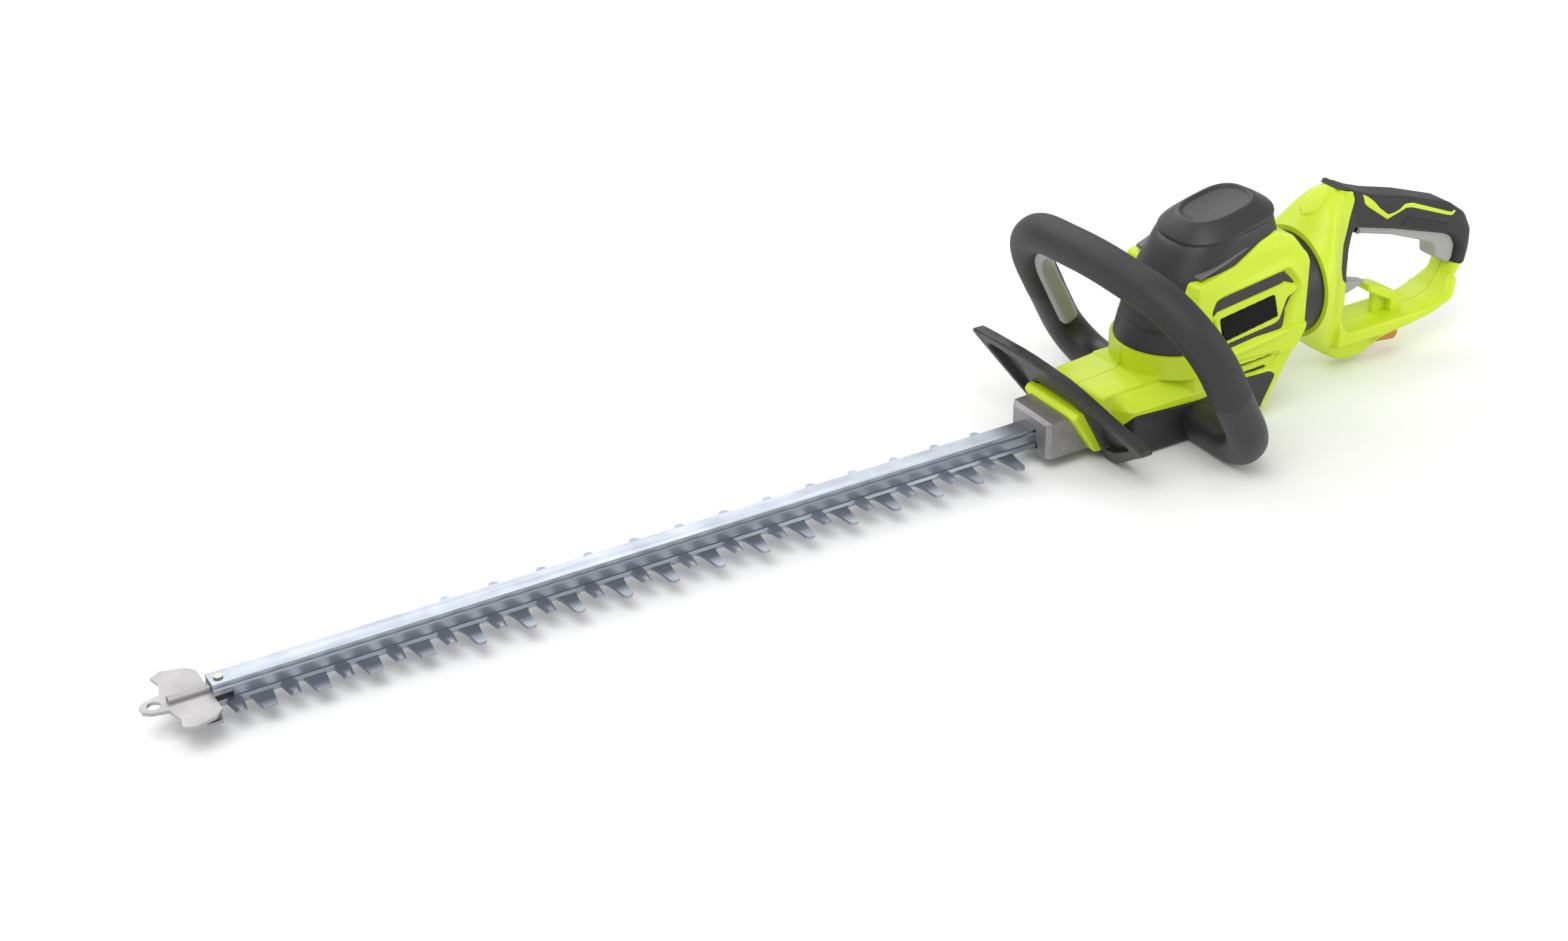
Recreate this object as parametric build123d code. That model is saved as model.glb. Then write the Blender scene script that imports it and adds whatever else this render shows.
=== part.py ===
from build123d import *
import os
from math import atan2, cos, hypot, pi, radians, sin, sqrt, tan

os.makedirs("parts", exist_ok=True)

# Electric hedge trimmer.  Working frame, in millimetres: X = 0 at the first rounded finger of the
# blade and +X towards the rear handle, Y = 0 on the plane of symmetry, Z = 0 on the upper blade's
# top face.  At the end every solid is shifted so that the origin is at the bottom centre.

# ---- cutting blades ----
pitch = 34.0              # distance from one tooth to the next
finger_first = -5         # index of the finger nearest the tip
finger_count = 18
square_count = 5          # fingers near the tip are cut short and square
finger_x0 = 1.8           # place of finger 0
plate = 2.0               # thickness of each blade
plate_gap = 0.1           # running gap between the blades, and under the rail
upper_root = 9.5
upper_tip = 23.2
upper_base_half = 5.9
upper_tip_half = 3.4
bevel = 2.1               # width of the ground bevel, seen from above
lower_root = 8.5
finger_tip = 31.0
finger_end_r = 3.6
finger_base_half = 7.0
square_tip = 25.0
square_half = 4.6
stroke = 8.5              # each blade moves this far each way
shank_from = 415.0        # behind this the blades have no teeth

# ---- rail and its bolts ----
rail_half = 7.4
rail_top = 11.3
rail_tip = -162.5
rail_back = 474.0
lip = 1.6
groove = 1.7
groove_deep = 1.4
bolt_first = -140.0
bolt_step = 73.0
bolt_count = 8
bolt_r = 2.0
sleeve_r = 3.0
sleeve_clear = 0.3
head_r = 4.8
head_high = 3.2
washer_thick = 1.2

# ---- tip guard ----
tip_front = -205.0
tip_z = 3.0
tip_plate = 2.2
tip_half = 34.0
hang_x = -197.0
hang_r = 4.2
rivet_r = 1.6

# ---- drive ----
module = 1.25
gear_teeth = 48
pinion_teeth = 12
backlash = 0.16
motor_x = 582.0
gear_z = 4.0
gear_thick = 7.0
pin_r = 3.0
axle_r = 4.0
run_clear = 0.05
window_clear = 0.8        # room round the crank pins in the blades' windows
shaft_r = 4.0
bearing_r = 11.0
bearing_high = 7.0
core_r = 17.0
core_low = 48.0
core_high = 88.0
stator_r = 29.0
air_gap = 0.6
fan_r = 25.0
fan_vanes = 10
core_slots = 12
commutator_r = 9.0

# ---- gear case ----
nose_x = 437.0
nose_half = 22.5
nose_low = -8.0
nose_top = 19.0
case_r = 35.5
case_wall = 2.8
case_roof = 3.5
cover_thick = 2.5
screw_head_high = 1.6

# ---- body shells ----
wall = 2.6
body_half = 41.0
front_half = 29.0
cap_front = 554.0
cap_back = 632.0
cap_half = 32.0
cap_z = 124.5
cap_tilt = 12.0
base_low = -17.0
swivel_z = 63.2
collar_r = 38.6
collar_from = 630.0
collar_to = 668.2
spigot_r = 33.0
flange_r = 36.0               # the rim that keeps the spigot in the body
flange_from = 641.0
flange_to = 645.0
fit_gap = 0.3             # clearance between pieces that don't touch

# ---- front handle and guard ----
loop_r = 14.0
loop_wall = 3.0
loop_foot = (556.0, -3.0)     # X and Z of the loop's foot
loop_head = (494.0, 117.0)    # X and Z of its shoulders
loop_foot_half = 108.0
loop_head_half = 105.0
loop_rise = 9.5               # the top bar's middle stands this far above its shoulders
loop_corner = 58.0
loop_foot_corner = 34.0
loop_crown = 260.0
bail_press = 4.0
bail_low = 34.0               # its ends' distance up the legs
bail_sunk = 7.0
bail_proud = 6.0
guard_far = (86.0, 48.0)      # Y and Z of the wing's tip on the far side
guard_near = (92.0, 22.0)     # and on the near side, which hangs lower
guard_tip = 5.0
guard_thick = 9.0

# ---- rear handle ----
neck_r = 42.5
grip_half = 13.5
rail_bar_half = 20.0
riser_half = 15.0
belly_half = 10.0
lever_half = 9.0
lever_turn = 3.0
lever_clear = 0.8         # room round the lever inside the grip
lever_pin_r = 2.0
lever_pin = (719.0, 95.5)
trigger_travel = 5.0
stub_r = 7.2
cord_r = 3.7
stub_long = 42.0

# ---- values worked out from the sizes above ----
lower_top = -plate - plate_gap
lower_low = lower_top - plate
gear_r = module * gear_teeth / 2
pinion_r = module * pinion_teeth / 2
gear_x = motor_x - gear_r - pinion_r
window_x = 2 * stroke + pin_r + window_clear
window_y = stroke + pin_r + window_clear
yoke_x = window_x + 4.5
yoke_y = window_y + 4.2
cavity_half = case_r - case_wall
yoke_room_x = yoke_x + stroke + window_clear
yoke_room_y = yoke_y + window_clear
case_top = gear_z + gear_thick + 3.5 + case_roof
bolt_xs = [bolt_first + bolt_step * i for i in range(bolt_count)]
finger_xs = [finger_x0 + pitch * (finger_first + i) for i in range(finger_count)]


def side_face(points):
    """A face in the XZ plane from (x, z) points."""
    return make_face(Polyline(*[(x, 0, z) for x, z in points], close=True))


def prism(face, half):
    """A side face made solid by the same amount either way along Y."""
    return extrude(face, amount=half, dir=(0, 1, 0), both=True)


def slab(points, low, high):
    """A solid from a plan outline of (x, y) points."""
    face = make_face(Polyline(*[(x, y, low) for x, y in points], close=True))
    return extrude(face, high - low, dir=(0, 0, 1))


def mirrored(points):
    """A plan outline from the points on its +Y side, in order of X."""
    return points + [(x, -y) for x, y in reversed(points)]


def rod(r, low, high, x=0.0, y=0.0):
    """An upright cylinder."""
    return Pos(x, y, (low + high) / 2) * Cylinder(r, high - low)


def rod_x(r, start, end, z, y=0.0):
    """A cylinder along X."""
    return Pos((start + end) / 2, y, z) * Rot(0, 90, 0) * Cylinder(r, end - start)


def rod_y(r, start, end, x, z):
    """A cylinder along Y."""
    return Pos(x, (start + end) / 2, z) * Rot(90, 0, 0) * Cylinder(r, end - start)


def block(x, y, z):
    """A box from its lowest and highest corner values."""
    return Pos(sum(x) / 2, sum(y) / 2, sum(z) / 2) * Box(x[1] - x[0], y[1] - y[0], z[1] - z[0])


def slot(x, length, r, low, high):
    """A round-ended slot along X, made solid."""
    return Pos(x, 0, low) * extrude(SlotOverall(length, 2 * r), high - low)


# ---- cutting blades ----

def blade_slots(low, high):
    """The slots that let a blade slide past the bolts' sleeves."""
    length = 2 * (sleeve_r + stroke + sleeve_clear)
    return [slot(x, length, sleeve_r + sleeve_clear, low - 1, high + 1) for x in bolt_xs]


def yoke(low, high):
    """The wide rear end of a blade."""
    return block((gear_x - yoke_x, gear_x + yoke_x), (-yoke_y, yoke_y), (low, high))


def yoke_window(low, high):
    """The window that the crank pins work in."""
    return block((gear_x - window_x, gear_x + window_x), (-window_y, window_y), (low - 1, high + 1))


def upper_tooth(x, side):
    """A short cutting tooth, wider below than above because its flanks are ground."""
    root = upper_root - bevel
    low = [(x - upper_base_half, root), (x - upper_tip_half, upper_tip),
           (x + upper_tip_half, upper_tip), (x + upper_base_half, root)]
    high = [(x - upper_base_half + bevel, root), (x - upper_tip_half + bevel, upper_tip),
            (x + upper_tip_half - bevel, upper_tip), (x + upper_base_half - bevel, root)]
    faces = [make_face(Polyline(*[(a, side * b, z) for a, b in ring], close=True))
             for ring, z in ((low, -plate), (high, 0))]
    return loft(faces)


def make_upper_blade():
    start = finger_xs[0] - square_half
    strip = make_face(Polyline((start, -upper_root, -plate), (start, upper_root, -plate),
                               (start, upper_root - 1.2, 0), (start, -upper_root + 1.2, 0), close=True))
    blade = extrude(strip, gear_x - start, dir=(1, 0, 0))
    xs = [x + pitch / 2 for x in finger_xs[:-1]]
    blade += [upper_tooth(x, side) for x in xs for side in (-1, 1)]
    return blade + yoke(-plate, 0) - blade_slots(-plate, 0) - yoke_window(-plate, 0)


def finger(x, side):
    """A long blunt finger with a round end."""
    ring = [(-finger_base_half - 1.6, lower_root - 1), (-finger_base_half, lower_root + 0.6), (-5.7, 11.6),
            (-4.3, 19.0), (-finger_end_r, finger_tip - finger_end_r)]
    ring = ring + [(-a, b) for a, b in reversed(ring)]
    face = make_face(Polyline(*[(x + a, side * b, lower_low) for a, b in ring], close=True))
    end = rod(finger_end_r, lower_low, lower_top, x, side * (finger_tip - finger_end_r))
    return extrude(face, plate, dir=(0, 0, 1)) + end


def square_finger(x, side):
    """A shorter finger near the tip, with a flat end."""
    ring = [(-finger_base_half - 1.6, lower_root - 1), (-finger_base_half, lower_root + 0.6),
            (-square_half, square_tip), (square_half, square_tip),
            (finger_base_half, lower_root + 0.6), (finger_base_half + 1.6, lower_root - 1)]
    face = make_face(Polyline(*[(x + a, side * b, lower_low) for a, b in ring], close=True))
    return extrude(face, plate, dir=(0, 0, 1))


def make_lower_blade():
    start = finger_xs[0] - finger_base_half
    blade = block((start, gear_x), (-lower_root, lower_root), (lower_low, lower_top))
    for i, x in enumerate(finger_xs):
        shape = square_finger if i < square_count else finger
        blade += [shape(x, side) for side in (-1, 1)]
    return (blade + yoke(lower_low, lower_top) - blade_slots(lower_low, lower_top)
            - yoke_window(lower_low, lower_top))


# ---- rail, bolts and tip guard ----

def make_rail():
    top, half = rail_top, rail_half
    side = [(half, plate_gap), (half, 6.6), (half - 0.7, 7.3), (half - groove_deep, 7.9),
            (half - groove_deep, top - lip), (half, top - lip), (half, top - 0.4), (half - 0.4, top)]
    ring = side + [(-y, z) for y, z in reversed(side)]
    face = make_face(Polyline(*[(rail_tip, y, z) for y, z in ring], close=True))
    rail = extrude(face, rail_back - rail_tip, dir=(1, 0, 0))
    rail -= [rod(bolt_r, plate_gap - 1, rail_top - 3, x) for x in bolt_xs]
    rail -= block((rail_tip - 1, rail_tip + 12), (-half - 1, half + 1), (0, tip_z + tip_plate))
    return rail - rod(rivet_r, 0, rail_top + 1, rail_tip + 6)


def make_bolts():
    """Bolts up through the blades into the rail: hexagon heads under the lower blade."""
    bolts = []
    for x in bolt_xs:
        shank = rod(bolt_r, lower_low, rail_top - 3.2, x)
        head_low = lower_low - plate_gap - washer_thick - head_high
        head = Pos(x, 0, head_low) * extrude(RegularPolygon(head_r, 6), head_high)
        bolts.append(shank + head + rod(bolt_r, lower_low - 1.5, lower_low, x))
    return Compound(children=bolts)


def make_sleeves():
    """Spacer sleeves with a washer: they hold the blades up with running clearance."""
    sleeves = []
    for x in bolt_xs:
        washer = rod(head_r + 1.4, lower_low - plate_gap - washer_thick, lower_low - plate_gap, x)
        tube = rod(sleeve_r, lower_low - plate_gap, plate_gap, x)
        sleeves.append(washer + tube - rod(bolt_r, lower_low - 3, 1, x))
    return Compound(children=sleeves)


def make_tip_guard():
    top = tip_z + tip_plate
    outline = mirrored([(rail_tip + 12, 6.8), (rail_tip - 0.5, 6.8), (rail_tip - 0.5, 24.0),
                        (rail_tip - 6, 30.0), (rail_tip - 20, tip_half), (rail_tip - 27, tip_half - 4),
                        (rail_tip - 25, 22.0), (rail_tip - 28, 9.5), (tip_front + 4, 7.0),
                        (tip_front, 3.5)])
    plate_body = slab(outline, tip_z, top)
    rib = rod_x(3.0, rail_tip - 26, rail_tip - 0.3, top + 0.4)
    rib &= block((-300, 0), (-9, 9), (top - 0.6, top + 9))
    guard = plate_body + rib - rod(hang_r, tip_z - 1, top + 1, hang_x)
    return guard - rod(rivet_r, 0, 20, rail_tip + 6)


def make_rivet():
    x = rail_tip + 6
    return (rod(rivet_r, tip_z, rail_top, x) + rod(3.0, rail_top, rail_top + 1.2, x)
            + rod(2.6, tip_z - 1.0, tip_z, x))


# ---- drive ----

def involute_ring(teeth, phase, points=5):
    """Outline of an external 20-degree involute gear as a list of plan points."""
    pitch_r = module * teeth / 2
    base_r = pitch_r * cos(radians(20))
    outer_r = pitch_r + module
    root_r = pitch_r - 1.25 * module
    inv = tan(radians(20)) - radians(20)
    half = pi / (2 * teeth) - backlash / (4 * pitch_r)
    start_r = max(base_r, root_r)
    ring = []
    for k in range(teeth):
        middle = phase + 2 * pi * k / teeth
        flank = []
        for i in range(points):
            r = start_r + (outer_r - start_r) * i / (points - 1)
            t = sqrt(max((r / base_r) ** 2 - 1, 0))
            flank.append((r, half + inv - (t - atan2(t, 1))))
        if root_r < base_r:
            flank.insert(0, (root_r, flank[0][1]))
        ring += [(r * cos(middle - a), r * sin(middle - a)) for r, a in flank]
        ring += [(r * cos(middle + a), r * sin(middle + a)) for r, a in reversed(flank)]
    return ring


def spur(teeth, phase, x, low, high):
    return Pos(x, 0, 0) * slab(involute_ring(teeth, phase), low, high)


def make_drive_gear():
    """Large gear with the two opposed crank pins under it, one for each blade."""
    top = gear_z + gear_thick
    gear = spur(gear_teeth, pi / gear_teeth, gear_x, gear_z, top)
    gear -= Pos(gear_x, 0, top - 1.6) * extrude(Circle(gear_r - 5) - Circle(13), 2)
    for i in range(6):
        a = pi / 6 + i * pi / 3
        gear -= rod(4.0, gear_z - 1, top + 1, gear_x + 19.5 * cos(a), 19.5 * sin(a))
    gear += rod(pin_r + 3.2, gear_z - 1.4, gear_z, gear_x, stroke)
    gear += rod(pin_r + 3.2, gear_z - 1.4, gear_z, gear_x, -stroke)
    gear += rod(pin_r, -plate - 0.05, gear_z, gear_x, stroke)
    gear += rod(pin_r, lower_low - 0.6, gear_z, gear_x, -stroke)
    return gear - rod(axle_r + 2.5, gear_z - 5, top + 1, gear_x)


def make_bushing():
    tube = rod(axle_r + 2.5, gear_z - 1.4, gear_z + gear_thick + 2.8, gear_x)
    return tube - rod(axle_r + run_clear, -5, 30, gear_x)


def make_axle():
    return rod(axle_r, nose_low - cover_thick, case_top, gear_x)


def make_motor_shaft():
    """Motor shaft with the pinion cut on its lower end."""
    pinion = spur(pinion_teeth, pi, motor_x, gear_z - 1, gear_z + gear_thick + 1)
    return pinion + rod(shaft_r, gear_z - 3, 118, motor_x)


def about_motor(angle):
    """Turned by an angle about the motor's axis, from a place measured off that axis."""
    return Pos(motor_x, 0, 0) * Rot(0, 0, angle)


def make_core():
    """Laminated rotor core with its windings' ends."""
    core = rod(core_r, core_low, core_high, motor_x)
    for i in range(core_slots):
        core -= about_motor(360 * i / core_slots) * block((core_r - 4, core_r + 1), (-0.8, 0.8), (40, 100))
    core += rod(core_r - 3, core_low - 5, core_high + 5, motor_x)
    return core - rod(shaft_r, 0, 130, motor_x)


def make_commutator():
    ring = rod(commutator_r, core_high + 7, core_high + 18, motor_x)
    for i in range(core_slots):
        gap = block((commutator_r - 1, commutator_r + 1), (-0.3, 0.3), (80, 120))
        ring -= about_motor(360 * i / core_slots) * gap
    return ring - rod(shaft_r, 0, 130, motor_x)


def make_fan():
    hub = rod(8.0, core_low - 19, core_low - 7, motor_x)
    disc = rod(fan_r, core_low - 19, core_low - 17, motor_x)
    vane = block((7, fan_r - 1), (-0.8, 0.8), (core_low - 17.5, core_low - 9))
    vanes = [about_motor(360 * i / fan_vanes) * vane for i in range(fan_vanes)]
    return hub + disc + vanes - rod(shaft_r, 0, 130, motor_x)


def make_stator():
    body = rod(stator_r, core_low, core_high, motor_x) - rod(core_r + air_gap, 0, 130, motor_x)
    for side in (-1, 1):
        across = sorted((side * (core_r + 2.5), side * (stator_r - 5)))
        body -= block((motor_x - 8, motor_x + 8), across, (0, 130))
    return body


def make_field_coils():
    """Two field windings that stand above and below the stator's iron."""
    coils = []
    for low, high in ((core_low - 5, core_low), (core_high, core_high + 5)):
        ring = rod(stator_r - 3, low, high, motor_x) - rod(core_r + 2.0, 0, 130, motor_x)
        coils.append(ring)
    for side in (-1, 1):
        y = sorted((side * (core_r + 2.5), side * (stator_r - 5)))
        coils.append(block((motor_x - 7.8, motor_x + 7.8), y, (core_low, core_high)))
    coil = coils[0]
    for piece in coils[1:]:
        coil += piece
    return coil


def bearing(low):
    ring = rod(bearing_r, low, low + bearing_high, motor_x) - rod(shaft_r + run_clear, 0, 130, motor_x)
    for z in (low, low + bearing_high - 0.8):
        ring -= Pos(motor_x, 0, z) * extrude(Circle(bearing_r - 2.2) - Circle(shaft_r + 2.2), 0.8)
    return ring


def make_motor_bracket():
    """Plastic bridge over the motor: it holds the upper bearing and the brush holders."""
    low, high = core_high + 8, 118.5
    ring = rod(stator_r, low - 2, low + 2, motor_x) - rod(commutator_r + 3, 0, 130, motor_x)
    hub = rod(bearing_r + 2.5, 109, high, motor_x) - rod(bearing_r, 110, high + 1, motor_x)
    hub -= rod(bearing_r - 2, 100, high + 1, motor_x)
    arms = [block((motor_x + s * 17 - 4, motor_x + s * 17 + 4), (-6, 6), (low, 113)) for s in (-1, 1)]
    ties = [block(sorted((motor_x + s * 12, motor_x + s * 21)), (-6, 6), (109, 113)) for s in (-1, 1)]
    bracket = ring + hub
    for piece in arms + ties:
        bracket += piece
    bracket -= rod(bearing_r, 110, high + 1, motor_x)
    return bracket - [brush_box(s, 0.0) for s in (-1, 1)]


def brush_box(side, inset):
    """The space of one carbon brush with its brass holder."""
    y = sorted((side * (commutator_r + 0.3), side * (stator_r - 1 - inset)))
    return block((motor_x - 4, motor_x + 4), y, (core_high + 8, core_high + 16))


def make_brushes():
    return Compound(children=[brush_box(side, 1.0) for side in (-1, 1)])


# ---- gear case ----

def case_plan(grow):
    """Outline of the gear case behind its nose, as a sketch."""
    outline = Pos(gear_x, 0) * Circle(case_r + grow)
    outline += Pos(motor_x, 0) * Circle(17 + grow)
    outline += Pos((nose_x + gear_x) / 2 + 20, 0) * Rectangle(gear_x - nose_x - 40, 2 * (nose_half + grow))
    around = case_wall + grow
    outline += Pos(gear_x, 0) * Rectangle(2 * (yoke_room_x + around), 2 * (yoke_room_y + around))
    return outline


def make_gear_case():
    """Cast case: the nose that grips the rail, and the gear chamber behind it."""
    nose_side = side_face([(nose_x, nose_low), (nose_x, nose_top - 1.5), (nose_x + 3, nose_top + 1),
                           (nose_x + 70, nose_top + 4), (nose_x + 70, nose_low)])
    nose = prism(nose_side, nose_half)
    nose = chamfer(nose.edges().filter_by(Axis.Z).group_by(Axis.X)[0], 3.0)
    chamber = Pos(0, 0, nose_low) * extrude(case_plan(0), case_top - nose_low)
    case = nose + chamber
    inner = (Pos(gear_x, 0) * Circle(cavity_half)) + (Pos(motor_x, 0) * Circle(bearing_r + 1.5))
    inner += Pos(gear_x, 0) * Rectangle(2 * yoke_room_x, 2 * yoke_room_y)
    hollow = Pos(0, 0, nose_low - 1) * extrude(inner, case_top - case_roof - nose_low + 1)
    case -= hollow
    case -= block((nose_x - 1, gear_x), (-upper_root - 0.6, upper_root + 0.6), (lower_low - 0.4, 0.4))
    case -= block((nose_x - 1, rail_back), (-rail_half, rail_half), (plate_gap, rail_top))
    case -= rod(shaft_r + 1.5, 0, 60, motor_x)
    case += rod(bearing_r + 3, case_top - 1, case_top + 8, motor_x) - rod(bearing_r, 0, 60, motor_x)
    return case - rod(axle_r, 0, 60, gear_x)


def make_gear_cover():
    plan = case_plan(0)
    cover = Pos(0, 0, nose_low - cover_thick) * extrude(plan, cover_thick)
    return cover - rod(axle_r, -30, 0, gear_x) - [rod(1.6, -30, 0, x, y) for x, y in cover_screws()]


def cover_screws():
    out = case_r - 1.45
    spots = [(gear_x + out * cos(radians(a)), out * sin(radians(a))) for a in (75, 105, 255, 285)]
    return spots + [(nose_x + 45, 17.5), (nose_x + 45, -17.5)]


def make_cover_screws():
    screws = []
    for x, y in cover_screws():
        low = nose_low - cover_thick
        screws.append(rod(1.4, low, nose_low, x, y) + rod(2.6, low - screw_head_high, low, x, y))
    return Compound(children=screws)


# ---- body shells ----

lime_side = [(459, -11), (453, 14), (462, 31), (489, 33), (513, 35), (517, 51), (543, 51), (545, 93),
             (554, 103), (606, 124), (635, 122), (650, 103), (650, 46), (612, -14), (606, -14), (622, 17),
             (594, 21), (557, 14), (497, 17), (478, -11)]
base_side = [(478, -11), (497, 17), (557, 14), (594, 21), (622, 17), (606, -14), (600, base_low),
             (498, base_low), (486, base_low + 3)]
shroud_side = [(517, 51), (526, 74), (539, 102), (550, 121), (635, 139), (635, 122), (606, 124), (554, 103),
               (545, 93), (543, 51)]


def barrel(inset):
    """The motor's part of the body: round in front, and narrower towards the cap."""
    sections = [(36, 517, 650, body_half - 0.6, 37), (98, 538, 650, body_half - 1.5, 31),
                (140, 553, 640, cap_half, 22)]
    faces = []
    for z, front, back, half, r in sections:
        outline = RectangleRounded(back - front - 2 * inset, 2 * (half - inset), r - inset)
        faces.append(Pos((front + back) / 2, 0, z) * outline)
    return loft(faces[:2], ruled=True) + loft(faces[1:], ruled=True)


def envelope(inset):
    """The body's outer form, or its inner form when inset by the wall."""
    whole = side_face(lime_side) + side_face(base_side) + side_face(shroud_side)
    side = prism(offset(whole, -inset, kind=Kind.INTERSECTION) if inset else whole, 60)
    low = mirrored([(440 + inset, front_half - inset), (489 + inset, front_half + 1 - inset),
                    (500 + inset, body_half - inset), (655 - inset, body_half - inset)])
    rear = block((545 + inset, 655 - inset), (-body_half + inset, body_half - inset), (30, 104 - inset))
    return side & (slab(low, -60, 35.001) + barrel(inset) + rear)


outer_form = envelope(0)
inner_form = envelope(wall)
boss_spots = [(470, 25.5), (505, 27.5), (634, 26), (628, 112)]


def swivel_cut():
    """The round hole in the body's rear wall that the handle's neck turns in."""
    groove_cut = rod_x(flange_r + fit_gap, flange_from - fit_gap, flange_to + fit_gap, swivel_z)
    return rod_x(spigot_r + fit_gap, 600, 700, swivel_z) + groove_cut


def nose_cut():
    """Room in the shells for the gear case's nose."""
    half = nose_half + fit_gap
    return block((430, 520), (-half, half), (nose_low - cover_thick - 2, nose_top + 4.4))


def make_half_shell(side):
    shell = (outer_form & prism(side_face(lime_side), 60)) - inner_form
    for x, z in boss_spots:
        half = body_half - 2 if x > 500 else front_half - 1
        shell += rod_y(3.4, -half, half, x, z)
    shell -= [rod_y(1.5, -60, 60, x, z) for x, z in boss_spots]
    shell -= swivel_cut()
    shell -= nose_cut()
    return shell & block((400, 700), sorted((0, side * 80)), (-60, 160))


def make_base():
    """Lower shell, in black plastic."""
    return (outer_form & prism(side_face(base_side), 60)) - inner_form - nose_cut()


def make_shroud():
    shell = (outer_form & prism(side_face(shroud_side), 60)) - inner_form
    for i in range(3):
        shell -= block((566 + 6 * i, 606), (-60, 60), (110 + 4.5 * i, 111.8 + 4.5 * i))
    return shell


def cap_plane(lift):
    t = radians(cap_tilt)
    x = (cap_front + cap_back) / 2
    z = cap_z + (cap_back - cap_front) / 2 * tan(t)
    origin = (x - lift * sin(t), 0, z + lift * cos(t))
    return Plane(origin=origin, x_dir=(cos(t), 0, sin(t)), z_dir=(-sin(t), 0, cos(t)))


def make_cap():
    long = (cap_back - cap_front) / cos(radians(cap_tilt))
    low = cap_plane(-2.5) * RectangleRounded(long - 4, 2 * cap_half - 4, 22)
    rim = cap_plane(0) * RectangleRounded(long, 2 * cap_half, 24)
    top = cap_plane(10) * RectangleRounded(long - 26, 2 * cap_half - 20, 15)
    cap = loft([low, rim]) + loft([rim, top])
    sunk = cap_plane(8.8) * RectangleRounded(long - 34, 2 * cap_half - 27, 12)
    return cap - extrude(sunk, 4) - prism(side_face(shroud_side), 60)


def make_collar():
    """Black ring behind the body shells, filling the wedge behind their sloping rear edge."""
    ring = rod_x(collar_r, collar_from, collar_to, swivel_z) - prism(side_face(lime_side), 60)
    return ring - swivel_cut()


def make_badges():
    """Plain plates on both sides."""
    plates = []
    for side in (-1, 1):
        face = Pos(597, 0, 67) * Rot(90, 0, 0) * Rot(0, 0, 7) * RectangleRounded(51, 21.8, 2)
        plates.append(Pos(0, side * (body_half + 0.5), 0) * extrude(face, 0.5, both=True))
    return Compound(children=plates)


# ---- front guard ----

def make_guard():
    """Hand guard: a wing on each side of the gear case's nose, in one moulding."""
    (far_y, far_z), (near_y, near_z) = guard_far, guard_near
    ring = [(-near_y, near_z), (-28, 44), (0, 49), (30, 52), (far_y, far_z), (far_y, far_z - guard_tip),
            (58, 12), (36, -13), (30, base_low), (-32, base_low), (-44, -12), (-near_y, near_z - guard_tip)]
    lean = 0.52
    face = make_face(Polyline(*[(474 - lean * z, y, z) for y, z in ring], close=True))
    guard = extrude(face, guard_thick, dir=(1, 0, 0))
    half = front_half + 1 + fit_gap
    cover_low = nose_low - cover_thick - screw_head_high
    guard -= block((400, 560), (-half, half), (cover_low - fit_gap, 33 + fit_gap))
    for side in (-1, 1):
        guard += block((480, 500), sorted((side * half, side * (body_half - 1))), (base_low + 2, 14))
    return guard - outer_form


# ---- front handle ----

loop_lean = hypot(loop_head[0] - loop_foot[0], loop_head[1] - loop_foot[1])
loop_up = ((loop_head[0] - loop_foot[0]) / loop_lean, 0, (loop_head[1] - loop_foot[1]) / loop_lean)
loop_plane = Plane(origin=(loop_foot[0], 0, loop_foot[1]), x_dir=(0, 1, 0),
                   z_dir=(loop_up[2], 0, -loop_up[0]))


def loop_point(across, up):
    return (loop_foot[0] + up * loop_up[0], across, loop_foot[1] + up * loop_up[2])


def loop_path():
    foot, head = loop_foot_half, loop_head_half
    points = [(-36, 0), (-foot, 0), (-head, loop_lean), (0, loop_lean + loop_rise), (head, loop_lean),
              (foot, 0), (36, 0)]
    radii = [loop_foot_corner, loop_corner, loop_crown, loop_corner, loop_foot_corner]
    return FilletPolyline(*[loop_point(a, b) for a, b in points], radius=radii)


def loop_tube(r):
    path = loop_path()
    section = Plane(origin=path @ 0, z_dir=path % 0) * Circle(r)
    return sweep(section, path)


def arch(inset, low):
    """The area inside the loop's centre line, inset evenly, down to a level."""
    half = loop_head_half - inset
    top = loop_lean - inset
    sides = Polyline((-half, low), (-half, top), (0, top + loop_rise), (half, top), (half, low), close=True)
    face = make_face(sides)
    corners = face.vertices().group_by(Axis.Y)
    return fillet(corners[1], loop_corner - inset)


def bail_outline(grow):
    """The grey bail's outline in the plane of the loop."""
    outer = arch(loop_r - bail_sunk - grow, bail_low - grow)
    return outer - arch(loop_r + bail_proud + grow, bail_low - 30)


def bail_solid(grow, lift):
    face = Pos(0, lift) * bail_outline(grow)
    return loop_plane * extrude(face, 7 + grow, both=True)


def make_loop_shell(side):
    tube = loop_tube(loop_r) - loop_tube(loop_r - loop_wall)
    tube -= bail_solid(fit_gap + 0.3, 0)
    tube -= bail_solid(fit_gap + 0.3, bail_press / 2)
    tube -= bail_solid(fit_gap + 0.3, bail_press)
    cutter = loop_plane * extrude(Rectangle(400, 400), side * 60)
    return (tube & cutter) - outer_form


# ---- rear handle ----

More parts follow.
